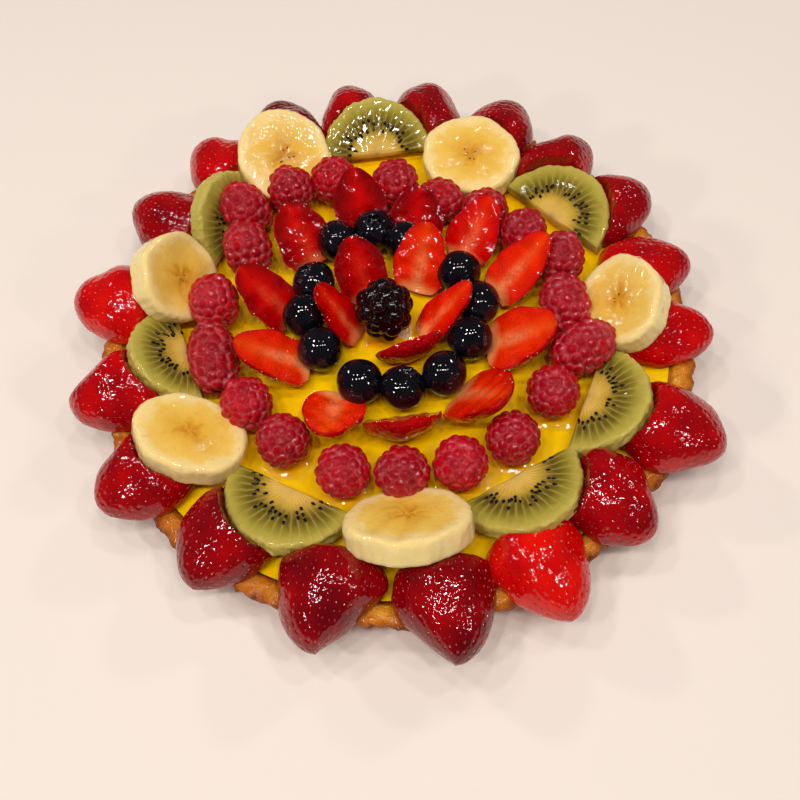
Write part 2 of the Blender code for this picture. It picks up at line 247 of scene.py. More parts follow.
ragged = np.clip((away - rim_radius + 4 * MM) / (4 * MM), 0, 1) * np.clip((points[:, 2] - 15 * MM) / (5 * MM), 0, 1)
push -= ragged * np.maximum(0, uneven(points * (1, 1, 0.2), 9 * MM, 4)) * 1.1 * MM
points[:, :2] *= (1 + (push - 0.4 * MM * outer) / np.maximum(away, MM))[:, None]
points[:, 2] += outer * (0.3 * uneven(points, 12 * MM, 5) + 0.25 * uneven(points, 3 * MM, 6) - 0.35) * MM
edge = np.clip((away - rim_radius + 7 * MM) / (7 * MM), 0, 1)
browning = 0.1 + 0.5 * edge ** 2 + 0.25 * np.clip((rim_top - 3 * MM - points[:, 2]) / (6 * MM), 0, 1)
crust = piece("crust_shell", points, faces, baked, browning=browning)
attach(crust, "root")
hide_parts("crust")


# ---------------------------------------------------------------- custard
# Thick egg custard fills the shell. A thin layer of jelly lies over it: wet, very glossy,
# a little orange where it pools, and drawn up in a small fillet round everything it touches.

custard_gloss, tree, shader = new_finish("custard", 0.3, coat=1.0, coat_roughness=0.03)
pooled = sum_of(tree, label_of(tree, "nearness"), sum_of(tree, -0.5, blotches(tree, 14 * MM)), 0.8)
tree.links.new(shades(tree, pooled, (0.0, paint(255, 202, 4)), (0.4, paint(255, 190, 2)),
                      (0.75, paint(240, 152, 2)), (1.0, paint(190, 96, 6))), shader.inputs["Base Color"])
shader.inputs["Subsurface Weight"].default_value = 0.15
shader.inputs["Subsurface Radius"].default_value = (1.0, 0.6, 0.15)
shader.inputs["Subsurface Scale"].default_value = 2 * MM
relief(tree, shader, blotches(tree, 5 * MM, 2), 0.5 * MM, "Coat Normal")

fruit_points = []
fruit_faces = []
for name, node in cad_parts.items():
    if name in ("crust", "custard"):
        continue
    start = len(fruit_points)
    fruit_points += [vertex.co.copy() for vertex in node.data.vertices]
    fruit_faces += [[start + index for index in face.vertices] for face in node.data.polygons]
all_fruit = BVHTree.FromPolygons(fruit_points, fruit_faces)

top = custard_high.z - 0.3 * MM
edge_radius = hollow_radius - 0.5 * MM
radii = np.concatenate([np.linspace(0.8 * MM, edge_radius, 90), [edge_radius - 0.6 * MM, 100.5 * MM, 1 * MM]])
heights = np.concatenate([np.full(90, top), [top - 2 * MM, custard_low.z, custard_low.z]])
bearing = np.linspace(0, math.tau, 440, endpoint=False)
rings = np.stack([radii[:, None] * np.cos(bearing), radii[:, None] * np.sin(bearing),
                  np.broadcast_to(heights[:, None], (len(radii), 440))], axis=-1)
points, faces = loft(rings)
nearness = np.zeros(len(points))
for index in range(90 * 440):
    spot = Vector(points[index])
    near = all_fruit.find_nearest(spot, 5 * MM)
    if near[0] is not None:
        nearness[index] = math.exp(-near[3] / (1.3 * MM))
wall_near = np.exp(-(edge_radius - np.hypot(points[:, 0], points[:, 1])) / (1.5 * MM))
on_top = points[:, 2] > top - 0.1 * MM
points[:, 2] += on_top * (0.25 * uneven(points, 30 * MM, 7) + 1.5 * nearness + 0.9 * wall_near - 0.2) * MM
custard_points = points
custard = piece("custard_layer", points, faces, custard_gloss, nearness=nearness)
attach(custard, "root")
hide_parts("custard")


# ---------------------------------------------------------------- rim strawberries
# Ripe strawberries cut in half lengthwise. They lie on their cut faces on the crust's rim with
# the tips pointing out, and their hulled ends reach in under the kiwi and banana slices.
# The skin is thin and glazed, with a pale seed in the bottom of each small pit; its red is painted darker in the pits,
# as painted shade.

def half_berry(length, width, height, rows, arc, flat):
    """Half a strawberry: rings along X from hull to tip, cut face at Z = 0, and each point's
    share of the length and side of the middle."""
    shoulder, point = 0.24, 0.5
    fullest = shoulder / (shoulder + point)
    most = fullest ** shoulder * (1 - fullest) ** point
    along = 0.004 + 0.992 * (1 - np.cos(np.pi * np.linspace(0, 1, rows))) / 2
    girth = along ** shoulder * (1 - along) ** point / most
    turn = np.linspace(0, np.pi, arc)
    across = np.concatenate([np.cos(turn), np.linspace(-1, 1, flat + 2)[1:-1]])
    rise = np.concatenate([np.sin(turn), np.zeros(flat)])
    rings = np.stack([np.broadcast_to(length * along[:, None], (rows, arc + flat)),
                      width / 2 * girth[:, None] * across, height * girth[:, None] * rise], axis=-1)
    return rings, np.repeat(along, arc + flat), np.tile(across, rows)


def turned_out(yaw, lean, spin=0.0):
    """Turns +X outwards along the yaw, lifts it by the lean and spins it first about Z."""
    swing = Matrix.Rotation(math.radians(yaw), 3, "Z")
    lift = Matrix.Rotation(math.radians(-lean), 3, "Y")
    return np.array(swing @ lift @ Matrix.Rotation(math.radians(spin), 3, "Z"))


def node_points(name):
    """The points of a solid of the frame, where it is."""
    return np.array([vertex.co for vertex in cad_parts[name].data.vertices])


def settle(points, name, yaw, level):
    """Where turned points go to reach out as far as their solid and lie centred on it, with the
    same lowest or highest point."""
    solid = node_points(name)
    out = np.array((math.cos(math.radians(yaw)), math.sin(math.radians(yaw)), 0))
    side = np.array((-out[1], out[0], 0))
    shift = out * ((solid @ out).max() - (points @ out).max() - 0.35 * MM)
    shift += side * ((solid @ side).max() + (solid @ side).min()
                     - (points @ side).max() - (points @ side).min()) / 2
    if level == "low":
        shift[2] = solid[:, 2].min() - points[:, 2].min()
    else:
        shift[2] = solid[:, 2].max() - points[:, 2].max()
    return shift


def solids_tree(prefixes):
    """The solids whose names start in one of the ways given, for finding what lies over a point."""
    points, faces = [], []
    for name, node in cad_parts.items():
        if name.startswith(prefixes):
            start = len(points)
            points += [vertex.co.copy() for vertex in node.data.vertices]
            faces += [[start + index for index in face.vertices] for face in node.data.polygons]
    return BVHTree.FromPolygons(points, faces)


def room_under(tree, points, floor, bite=0.0):
    """The height under whatever lies over each point, above a floor, or a large height. Soft
    fruit may press into what lies on it by the bite, but stays well under its top."""
    rooms = np.full(len(points), 1.0)
    for index, (x, y, z) in enumerate(points):
        hit = tree.ray_cast(Vector((x, y, floor)), Vector((0, 0, 1)), 0.06)
        if hit[0] is not None:
            top = tree.ray_cast(Vector((x, y, 0.08)), Vector((0, 0, -1)), 0.08)[0].z
            rooms[index] = min(hit[0].z + bite, max(hit[0].z, top - 2.4 * MM))
    return rooms


def grains(spots, ups, alongs, length, width, depth):
    """Points and faces of small seeds, each lying along a direction on its own spot."""
    turns, rows = 6, 3
    angle = np.linspace(0, math.tau, turns, endpoint=False)
    slope = np.linspace(-np.pi / 2, np.pi / 2, rows + 1)[1:-1]
    seed = [(-1, 0, 0)]
    for lift in slope:
        blunt = 1 - 0.35 * math.sin(lift)
        seed += [(math.sin(lift), math.cos(lift) * math.cos(a) * blunt, math.cos(lift) * math.sin(a)) for a in angle]
    seed = np.array(seed + [(1, 0, 0)]) * (length / 2, width / 2, depth / 2)
    faces = []
    last = len(seed) - 1
    for step in range(turns):
        ahead = (step + 1) % turns
        faces.append((0, 1 + ahead, 1 + step))
        for row in range(rows - 2):
            here = 1 + row * turns
            faces.append((here + step, here + ahead, here + turns + ahead, here + turns + step))
        faces.append((last, last - turns + step, last - turns + ahead))
    sides = np.cross(ups, alongs)
    points = (spots[:, None] + seed[None, :, :1] * alongs[:, None]
              + seed[None, :, 1:2] * sides[:, None] + seed[None, :, 2:] * ups[:, None]).reshape(-1, 3)
    every = [tuple(index + start for index in face) for start in range(0, len(points), len(seed)) for face in faces]
    return points, every


def drawn_in(points, length, left, right):
    """A strawberry half with its left and right sides drawn in towards the tip."""
    to_tip = np.clip((1 - points[:, 0] / length) / 0.68, 0.03, 1)
    taper = to_tip ** np.where(points[:, 1] > 0, left, right)
    return points * np.stack([np.ones(len(points)), taper, np.ones(len(points))], axis=1)


def seed_spots(length, width, height, pitch, seed, lowest=0.12):
    """Where the seeds sit on a half strawberry: spots, outward directions, ways along."""
    dice = np.random.default_rng(seed)
    spots, ups, ways = [], [], []
    row = 0
    travelled = pitch
    rings, _, _ = half_berry(length, width, height, 240, 61, 0)
    while travelled < length * 0.985:
        share = travelled / length
        at = int(np.argmin(np.abs(rings[:, 0, 0] - travelled)))
        half_round = np.pi * (width / 2 + height) / 2 * abs(rings[at, 0, 1]) / (width / 2)
        count = max(2, round(half_round / pitch))
        for number in range(count + 1):
            turn = (number + 0.5 * (row % 2) + dice.uniform(-0.15, 0.15)) / count
            if not lowest / 2 < turn < 1 - lowest / 2:
                continue
            step = min(59, max(1, int(turn * 60)))
            along = at + int(dice.integers(-2, 3))
            along = min(236, max(3, along))
            spot = rings[along, step]
            way = rings[along + 2, step] - rings[along - 2, step]
            side = rings[along, step + 1] - rings[along, step - 1]
            up = np.cross(side, way)
            if up @ (spot * (0, 1, 1)) < 0:
                up = -up
            spots.append(spot)
            ups.append(up / np.linalg.norm(up))
            ways.append(way / np.linalg.norm(way))
        slope = np.hypot(rings[at + 2, 30, 2] - rings[at - 2, 30, 2], rings[at + 2, 30, 0] - rings[at - 2, 30, 0]) if 2 <= at < 238 else 1
        level = (rings[min(239, at + 2), 30, 0] - rings[max(0, at - 2), 30, 0]) / max(slope, 1e-6)
        travelled += pitch * 0.9 * max(0.25, level)
        row += 1
    return np.array(spots), np.array(ups), np.array(ways)


def pitted(points, normals, spots, reach, depth):
    """Presses a small pit into the points round each spot."""
    finder = KDTree(len(spots))
    for number, spot in enumerate(spots):
        finder.insert(spot, number)
    finder.balance()
    near = np.array([finder.find(point)[2] for point in points])
    pit = np.clip(1 - (near / reach) ** 2, 0, 1) ** 2
    return points - normals * (depth * pit)[:, None], pit


skin, tree, shader = new_finish("strawberry_skin", 0.4, coat=1.0, coat_roughness=0.03)
ripeness_and_pit_shade = sum_of(tree, sum_of(tree, -0.5, blotches(tree, 12 * MM)), label_of(tree, "tone"))
# painted shade: the skin's red is made darker in each seed pit
ripeness_and_pit_shade = sum_of(tree, ripeness_and_pit_shade, label_of(tree, "pit"), -0.12)
tree.links.new(shades(tree, ripeness_and_pit_shade, (0.0, paint(98, 0, 10)), (0.35, paint(146, 0, 8)), (0.65, paint(190, 0, 4)),
                      (1.0, paint(224, 14, 2))), shader.inputs["Base Color"])
shader.inputs["Subsurface Weight"].default_value = 0.15
shader.inputs["Subsurface Radius"].default_value = (1.0, 0.05, 0.03)
shader.inputs["Subsurface Scale"].default_value = 2.0 * MM
relief(tree, shader, blotches(tree, 1.6 * MM, 3), 0.12 * MM)
relief(tree, shader, blotches(tree, 2.2 * MM, 1), 0.3 * MM, "Coat Normal")

seed_finish, tree, shader = new_finish("strawberry_seed", 0.3, coat=1.0)
tree.links.new(shades(tree, sum_of(tree, blotches(tree, 7 * MM), blotches(tree, 1.2 * MM), 0.5), (0.5, paint(120, 10, 12)),
                      (0.75, paint(196, 50, 40)), (1.0, paint(236, 140, 110))), shader.inputs["Base Color"])

slices_above = solids_tree(("kiwi_slice", "banana_slice"))
# ripeness (0 dark, 1 bright), and how far the left and right sides are drawn in to the tip
STRAWBERRY_KINDS = (
    (0.6, 0, 0), (0.4, 0, 0), (0.35, 0, 0), (0.35, 0, 0), (0.35, 0, 0), (0.4, 0, 0), (0.15, 0, 0), (0.6, 0, 0),
    (0.35, 0.1, 0), (0.75, 0.1, 0), (0.5, 0, 0.45), (0.45, 0, 0.1), (0.3, 0.2, 0), (0.2, 0.5, 0), (0.22, 0.05, 0.4),
    (0.85, 0.05, 0.2), (0.38, 0.1, 0), (0.45, 0, 0.1), (0.6, 0.1, 0),
)
all_seed_points, all_seed_faces, seed_count = [], [], 0
for number, (tone, left, right) in enumerate(STRAWBERRY_KINDS, 1):
    name = f"rim_strawberry_{number:02d}"
    solid = node_points(name)
    tip = solid[np.argmax(np.hypot(solid[:, 0], solid[:, 1]))]
    yaw = math.degrees(math.atan2(tip[1], tip[0]))
    side = np.array((-math.sin(math.radians(yaw)), math.cos(math.radians(yaw)), 0))
    width = np.ptp(solid @ side)
    height = np.ptp(solid[:, 2])
    length = 36 * MM
    rings, along, across = half_berry(length, width, height, 68, 62, 6)
    points, faces = loft(rings)
    along = np.append(along, (0, 1))
    dome = points[:, 2] > 0.01 * MM
    normals = np.stack([(along - 0.35) * length * 0.6, points[:, 1] * height / (width / 2), points[:, 2] * width / 2 / height], axis=-1)
    normals /= np.maximum(np.linalg.norm(normals, axis=1), 1e-9)[:, None]
    spots, ups, ways = seed_spots(length, width, height, 3.3 * MM, 100 + number)
    dented, pit = pitted(points, normals, spots, 1.2 * MM, 0.34 * MM)
    points = np.where(dome[:, None], dented, points)
    spots = spots - ups * 0.27 * MM
    points, spots = drawn_in(points, length, left, right), drawn_in(spots, length, left, right)
    points, spots = (
        there * (1 + (0.7 * MM * uneven(there * (1, 1, 0.6), 17 * MM, number) - 0.5 * MM)[:, None] / (width / 2) * (0, 1, 1))
        for there in (points, spots))
    turn = turned_out(yaw, 0)
    points = points @ turn.T
    shift = settle(points, name, yaw, "low")
    points += shift
    spots = spots @ turn.T + shift
    floor = points[:, 2].min()
    room = room_under(slices_above, points, floor - 0.1 * MM, 4 * MM) - 0.3 * MM
    points[:, 2] = np.maximum(np.minimum(points[:, 2], room), floor)
    berry = piece(f"strawberry_half_{number:02d}", points, faces, skin, tone=tone, pit=pit, along=along)
    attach(berry, "root")
    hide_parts(name)
    clear = spots[:, 2] < room_under(slices_above, spots, floor - 0.1 * MM) - 1 * MM
    seed_points, seed_faces = grains(spots[clear], (ups @ turn.T)[clear], (ways @ turn.T)[clear], 1.0 * MM, 0.52 * MM, 0.44 * MM)
    all_seed_faces += [tuple(index + seed_count for index in face) for face in seed_faces]
    all_seed_points.append(seed_points)
    seed_count += len(seed_points)
seeds = piece("strawberry_seeds", np.concatenate(all_seed_points), all_seed_faces, seed_finish)
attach(seeds, "root")


# ---------------------------------------------------------------- kiwi slices
# Peeled kiwi cut in round slices about 7 mm thick and halved. The core is cream, black seeds
# sit in a band round it, pale rays run out through clear green flesh, and the knife has left
# the outer edge slightly angular.

def slab(outline, thickness, ease, loops):
    """Rings of a thick slice with eased edges, from the middle of its top to that of its base."""
    middle = outline.mean(0)
    arms = outline - middle
    reach = np.linalg.norm(arms, axis=1)[:, None]
    rings = []
    def ring(inset, height, share=1.0):
        flat = middle + arms * np.maximum(0.02, share - inset / reach)
        rings.append(np.concatenate([flat, np.full((len(flat), 1), height)], axis=1))
    for loop in range(1, loops + 1):
        ring(ease, thickness, share=loop / loops if loop < loops else 1.0)
    for step in range(1, 5):
        bend = math.pi / 2 * step / 4
        ring(ease * (1 - math.sin(bend)), thickness - ease * (1 - math.cos(bend)))
    for step in range(1, 6):
        ring(0, thickness - ease - (thickness - 2 * ease) * step / 6)
    for step in range(0, 5):
        bend = math.pi / 2 * step / 4
        ring(ease * (1 - math.cos(bend)), ease * (1 - math.sin(bend)))
    ring(ease, 0, share=0.5)
    return np.array(rings)


kiwi_flesh, tree, shader = new_finish("kiwi_flesh", 0.25, coat=0.55, coat_roughness=0.05)
spoke = label_of(tree, "spoke")
out = label_of(tree, "out")
flesh = shades(tree, sum_of(tree, sum_of(tree, out, -0.05), blotches(tree, 4 * MM), 0.1),
               (0.0, paint(230, 190, 104)), (0.2, paint(222, 180, 86)), (0.32, paint(194, 154, 52)),
               (0.42, paint(136, 110, 36)), (0.52, paint(98, 80, 20)), (0.62, paint(108, 92, 24)),
               (0.73, paint(138, 122, 38)), (0.85, paint(172, 156, 64)), (1.0, paint(192, 172, 84)))
rays = add_node(tree, "ShaderNodeMath", {0: sum_of(tree, spoke, blotches(tree, 3 * MM), 0.25)}, operation="FRACT").outputs["Value"]
ray_line = shades(tree, rays, (0.0, (1, 1, 1, 1)), (0.14, (0.25, 0.25, 0.25, 1)), (0.4, (0, 0, 0, 1)), (0.7, (0, 0, 0, 1)), (0.9, (0.35, 0.35, 0.35, 1)), (1.0, (1, 1, 1, 1)))
ray_reach = times(tree, fade(tree, out, 0.2, 0.32, 0.0, 0.6), fade(tree, out, 0.6, 0.95, 1.0, 0.25))
tree.links.new(blend_colours(tree, times(tree, ray_line, ray_reach), flesh, paint(196, 172, 92)), shader.inputs["Base Color"])
shader.inputs["Subsurface Weight"].default_value = 0.25
shader.inputs["Subsurface Radius"].default_value = (0.8, 1.0, 0.3)
shader.inputs["Subsurface Scale"].default_value = 3 * MM
relief(tree, shader, sum_of(tree, ray_line, blotches(tree, 1.5 * MM), 0.6), 0.18 * MM)
relief(tree, shader, blotches(tree, 6 * MM, 1.5), 0.3 * MM, "Coat Normal")

kiwi_seed, tree, shader = new_finish("kiwi_seed", 0.3, coat=0.4)
tree.links.new(shades(tree, blotches(tree, 2 * MM), (0.3, paint(10, 8, 5)), (0.8, paint(34, 24, 14))), shader.inputs["Base Color"])

# yaw, lean, radius (mm) of each half slice
KIWI_LAY = ((92, 32, 24.2), (41, 15, 24.3), (333, 24, 23.6), (294, 21, 24.5), (240, 16, 24.8), (196, 30, 22.3), (153, 64, 23))
raspberries_beside = solids_tree(("raspberry_run",))
all_seed_points, all_seed_faces, seed_count = [], [], 0
for number, (yaw, lean, radius) in enumerate(KIWI_LAY, 1):
    name = f"kiwi_slice_{number}"
    dice = np.random.default_rng(300 + number)
    radius *= MM
    thickness = 7 * MM
    turn_about = np.radians(np.linspace(-90, 90, 112))
    facets = 1 + 0.018 * np.cos(3 * turn_about) - 0.012 * np.abs(np.sin(5.5 * turn_about + number)) + 0.006 * np.sin(13 * turn_about + 2 * number)
    arc = np.stack([np.cos(turn_about), np.sin(turn_about)], axis=1) * (radius * facets)[:, None]
    chord = np.linspace(arc[-1], arc[0], 52)[1:-1]
    chord[:, 0] = -0.3 * MM * np.sin(np.linspace(0, math.pi, 50))
    outline = np.concatenate([arc, chord])
    rings = slab(outline, thickness, 1.5 * MM, 14)
    points, faces = loft(rings)
    bearing = np.arctan2(points[:, 1], points[:, 0])
    spoke = bearing / math.tau * 38 + 40
    reach = np.hypot(points[:, 0], points[:, 1]) / radius
    reach -= 0.08 * np.abs(np.sin(bearing)) * np.clip(reach * 4, 0, 1) * np.clip(2 - 2 * reach, 0, 1)
    points[:, 2] += (points[:, 2] > thickness / 2) * (0.2 * uneven(points, 9 * MM, 20 + number) - 0.25 * np.clip(reach / 0.25, 0, 1) * (reach < 0.62)) * MM
    points[:, :2] *= (1 + 0.2 * MM * uneven(points, 3 * MM, 40 + number) / np.maximum(reach * radius, 4 * MM))[:, None]
    turn = turned_out(yaw, lean)
    top_level = thickness - 0.1 * MM
    spots, ways = [], []
    for spread in np.arange(-86, 87, 180 / 19):
        for reach_of, chance in ((0.43, 0.35), (0.51, 0.75), (0.59, 0.35)):
            if dice.uniform() > chance:
                continue
            at = math.radians(spread + dice.uniform(-2.2, 2.2))
            how_far = (reach_of + dice.uniform(-0.035, 0.035)) * radius
            spots.append((how_far * math.cos(at), how_far * math.sin(at), top_level))
            ways.append((math.cos(at), math.sin(at), 0))
    spots, ways = np.array(spots), np.array(ways)
    points = points @ turn.T
    shift = settle(points, name, yaw, "high")
    points += shift
    slice_piece = piece(f"kiwi_half_slice_{number}", points, faces, kiwi_flesh, spoke=spoke, out=reach)
    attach(slice_piece, "root")
    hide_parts(name)
    seed_points, seed_faces = grains(spots @ turn.T + shift, np.tile(turn[:, 2], (len(spots), 1)), ways @ turn.T, 2.1 * MM, 1.25 * MM, 0.8 * MM)
    all_seed_faces += [tuple(index + seed_count for index in face) for face in seed_faces]
    all_seed_points.append(seed_points)
    seed_count += len(seed_points)
seeds = piece("kiwi_seeds", np.concatenate(all_seed_points), all_seed_faces, kiwi_seed)
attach(seeds, "root")


# ---------------------------------------------------------------- banana slices
# Banana cut across, or at a slant, in slices about 11 mm thick. The cut face is cream with
# faint radial fibres and an amber three-lobed middle with specks of seed; the side is paler
# and finely ribbed. Jelly lies over the face in slow ripples.

banana_flesh, tree, shader = new_finish("banana_flesh", 0.35, coat=1.0, coat_roughness=0.035)
out = label_of(tree, "out")
lobes = label_of(tree, "lobes")
cream = shades(tree, sum_of(tree, sum_of(tree, out, -0.1), blotches(tree, 5 * MM, 4), 0.5),
               (0.1, paint(216, 152, 42)), (0.45, paint(230, 176, 66)), (0.85, paint(238, 196, 96)), (1.0, paint(242, 212, 142)))
amber = fade(tree, sum_of(tree, lobes, sum_of(tree, -0.5, blotches(tree, 2.2 * MM, 5)), 2.2), 0.15, 1.0, 0.0, 0.7)
cream = blend_colours(tree, amber, cream, paint(206, 134, 22))
side = label_of(tree, "side")
tree.links.new(blend_colours(tree, side, cream, paint(242, 216, 146)), shader.inputs["Base Color"])
shader.inputs["Subsurface Weight"].default_value = 0.35
shader.inputs["Subsurface Radius"].default_value = (1.0, 0.75, 0.35)
shader.inputs["Subsurface Scale"].default_value = 3 * MM
relief(tree, shader, blotches(tree, 1.6 * MM, 4), 0.2 * MM)
relief(tree, shader, blotches(tree, 5.5 * MM, 2), 1.3 * MM, "Coat Normal")

banana_speck, tree, shader = new_finish("banana_speck", 0.4, coat=0.6)
tree.links.new(shades(tree, blotches(tree, 2 * MM), (0.3, paint(64, 28, 8)), (0.8, paint(120, 62, 14))), shader.inputs["Base Color"])

# yaw, lean, half depth and half width (mm), spin of each slice
BANANA_LAY = ((115, 27, 20.5, 19.3, 0), (66, 11, 18.5, 20.8, 0), (1, 36, 16.5, 19.3, 0), (269.5, 36, 16.5, 22, 0), (207, 20, 21, 16.5, -49), (160, 52, 17, 18, 0))
all_seed_points, all_seed_faces, seed_count = [], [], 0
for number, (yaw, lean, deep, wide, spin) in enumerate(BANANA_LAY, 1):
    name = f"banana_slice_{number}"
    dice = np.random.default_rng(400 + number)
    thickness = 11 * MM
    turn_about = np.linspace(0, math.tau, 160, endpoint=False)
    facets = 1 + 0.016 * np.cos(5 * turn_about) + 0.008 * np.sin(9 * turn_about + number) + 0.004 * np.sin(31 * turn_about)
    outline = np.stack([np.cos(turn_about) * deep, np.sin(turn_about) * wide], axis=1) * facets[:, None] * MM
    rings = slab(outline, thickness, 2.0 * MM, 16)
    points, faces = loft(rings)
    plane = points[:, :2] / (deep * MM, wide * MM)
    reach = np.linalg.norm(plane, axis=1)
    bearing = np.arctan2(plane[:, 1], plane[:, 0])
    star = 0.3 + 0.09 * np.cos(3 * bearing + number) + 0.05 * np.sin(7 * bearing + 2 * number)
    lobes = np.clip(1.2 - reach / star, 0, 1) * (0.85 + 0.2 * np.sin(5 * bearing + 5 * number))
    on_face = points[:, 2] > thickness - 1.5 * MM
    face_level = 0.35 * uneven(points, 14 * MM, 60 + number) - 0.6 * lobes - 0.3 * np.clip(1 - reach, 0, 1)
    points[:, 2] += (points[:, 2] > thickness / 2) * face_level * MM
    flank = np.clip((thickness - 1.0 * MM - points[:, 2]) / (1.5 * MM), 0, 1)
    ribs = 0.25 * uneven(points * (1, 1, 0.25), 9 * MM, 70 + number) + 0.05 * uneven(points * (1, 1, 0.2), 2 * MM, 80 + number)
    points[:, :2] *= (1 + flank * ribs * MM / (18 * MM))[:, None]
    spots = []
    for lobe in range(3):
        for _ in range(2):
            at = (lobe * math.tau - number) / 3 + dice.uniform(-0.5, 0.5)
            how_far = dice.uniform(0.06, 0.2)
            spots.append((how_far * math.cos(at) * deep * MM, how_far * math.sin(at) * wide * MM, thickness - 0.6 * MM))
    spots = np.array(spots)
    ways = spots * (1, 1, 0)
    ways /= np.linalg.norm(ways, axis=1)[:, None]
    turn = turned_out(yaw, lean, spin)
    points = points @ turn.T
    shift = settle(points, name, yaw, "high")
    points += shift
    slice_piece = piece(f"banana_round_{number}", points, faces, banana_flesh, out=reach, lobes=lobes, side=flank)
    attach(slice_piece, "root")
    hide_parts(name)
    seed_points, seed_faces = grains(spots @ turn.T + shift, np.tile(turn[:, 2], (len(spots), 1)), ways @ turn.T, 1.1 * MM, 0.6 * MM, 0.4 * MM)
    all_seed_faces += [tuple(index + seed_count for index in face) for face in seed_faces]
    all_seed_points.append(seed_points)
    seed_count += len(seed_points)
specks = piece("banana_specks", np.concatenate(all_seed_points), all_seed_faces, banana_speck)
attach(specks, "root")


# ---------------------------------------------------------------- raspberries
# Whole raspberries, some upright and some on their sides, in a ring that touches the slices.
# Each is a hollow cap of round beads in staggered rows over a paler body, soft and glazed.

def beaded(width, length, bead, pitch, seed, lowest=-62):
    """Middles and sizes of the beads of a berry whose middle is at the origin, tip up."""
    dice = np.random.default_rng(seed)
    middles, sizes = [], []
    rows = max(5, round(np.pi * (width + length) / 4 * 0.85 / pitch))
    for row in range(rows):
        up = math.radians(84 + (lowest - 84) * row / (rows - 1))
        girth = (width / 2 - bead * 0.62) * math.cos(up) ** 0.9
        height = (length / 2 - bead * 0.5) * math.sin(up)
        count = max(1, round(math.tau * girth / pitch))
        for number in range(count):
            at = math.tau * (number + 0.5 * (row % 2) + dice.uniform(-0.13, 0.13)) / count + row
            middles.append((girth * math.cos(at), girth * math.sin(at), height + dice.uniform(-0.16, 0.16) * pitch))
            sizes.append(bead / 2 * dice.uniform(0.88, 1.08))
    return np.array(middles), np.array(sizes)


def bead_shells(middles, sizes, outs, turns):
    """Points and faces of round beads, each with its pole along its way out of the berry, and
    how near each point is to the groove between beads."""
    angle = np.linspace(0, math.tau, turns, endpoint=False)
    ball, groove = [(0, 0, 1)], [0]
    for slope in (17, 31, 40, 45, 52, 75, 120):
        slant = math.radians(slope)
        ball += [(math.sin(slant) * math.cos(a), math.sin(slant) * math.sin(a), math.cos(slant)) for a in angle]
        groove += [min(1, max(0, (slope - 42) / 5))] * turns
    ball, groove = np.array(ball + [(0, 0, -1)]), groove + [1]
    rows, last = 7, len(ball) - 1
    faces = []
    for step in range(turns):
        ahead = (step + 1) % turns
        faces.append((0, 1 + step, 1 + ahead))
        for row in range(rows - 1):
            here = 1 + row * turns
            faces.append((here + step, here + turns + step, here + turns + ahead, here + ahead))
        faces.append((last, last - turns + ahead, last - turns + step))
    outs = outs / np.linalg.norm(outs, axis=1)[:, None]
    firsts = np.cross(outs, (0.31, 0.9, 0.27))
    firsts /= np.linalg.norm(firsts, axis=1)[:, None]
    seconds = np.cross(outs, firsts)
    turned = (ball[None, :, :1] * firsts[:, None] + ball[None, :, 1:2] * seconds[:, None] + ball[None, :, 2:] * outs[:, None])
    points = (middles[:, None] + turned * sizes[:, None, None]).reshape(-1, 3)
    every = [tuple(index + start for index in face) for start in range(0, len(points), len(ball)) for face in faces]
    return points, every, np.tile(groove, len(middles))


def berry_body(width, length, inset):
    """The plain body inside a beaded berry."""
    up = np.linspace(-np.pi / 2 + 0.05, np.pi / 2 - 0.05, 16)
    turn = np.linspace(0, math.tau, 28, endpoint=False)
    girth = (width / 2 - inset) * np.cos(up)[:, None]
    rings = np.stack([girth * np.cos(turn), girth * np.sin(turn),
                      np.broadcast_to(((length / 2 - inset) * np.sin(up))[:, None], (16, 28))], axis=-1)
    return loft(rings)


raspberry, tree, shader = new_finish("raspberry_beads", 0.35, coat=1.0, coat_roughness=0.04)
bead_tone = sum_of(tree, label_of(tree, "tone"), sum_of(tree, -0.5, blotches(tree, 9 * MM)), 0.9)
bead_red = shades(tree, bead_tone, (0.0, paint(110, 0, 12)), (0.5, paint(164, 0, 16)), (1.0, paint(210, 2, 24)))
tree.links.new(blend_colours(tree, fade(tree, label_of(tree, "groove"), 0.3, 1.0, 0.0, 0.3), bead_red, paint(226, 96, 100)), shader.inputs["Base Color"])
shader.inputs["Subsurface Weight"].default_value = 0.2
shader.inputs["Subsurface Radius"].default_value = (1.0, 0.1, 0.1)
shader.inputs["Subsurface Scale"].default_value = 1.2 * MM
relief(tree, shader, blotches(tree, 1.2 * MM, 2), 0.08 * MM)
relief(tree, shader, blotches(tree, 1.6 * MM, 1.5), 0.2 * MM, "Coat Normal")

raspberry_gap, tree, shader = new_finish("raspberry_body", 0.45, coat=0.5, coat_roughness=0.15)
tree.links.new(shades(tree, blotches(tree, 2.5 * MM), (0.3, paint(120, 4, 22)), (0.8, paint(176, 40, 54))), shader.inputs["Base Color"])

# bearing, distance from the middle (mm), length (mm), lean, way of the lean of each berry
RASPBERRY_LAY = (
    ((105, 74.4, 21, 0, 0), (119, 77.6, 22, 10, 118), (133.5, 82, 25, 50, 134), (145.1, 67.8, 24, 40, 100)),
    ((168, 70.6, 24, 30, 90), (188, 69.9, 31, 80, 98), (208.5, 64.6, 21, 10, 90), (227, 64.1, 20, 0, 0)),
    ((249.8, 65, 20, 0, 0), (268.6, 64, 20, 0, 0), (287.3, 65, 20, 0, 0), (305.8, 67, 20, 0, 0)),
    ((326.5, 67.5, 20, 0, 0), (343.7, 72.9, 28, 80, 20), (358.8, 66.5, 26, 60, 95), (16.5, 71, 23, 30, 80)),
    ((32.5, 66.3, 20, 10, 36), (49, 64, 19, 20, 53), (67, 62, 18, 10, 70), (84.5, 67.8, 20, 10, 86)),
)
petals_above = solids_tree(("ring_petal",))
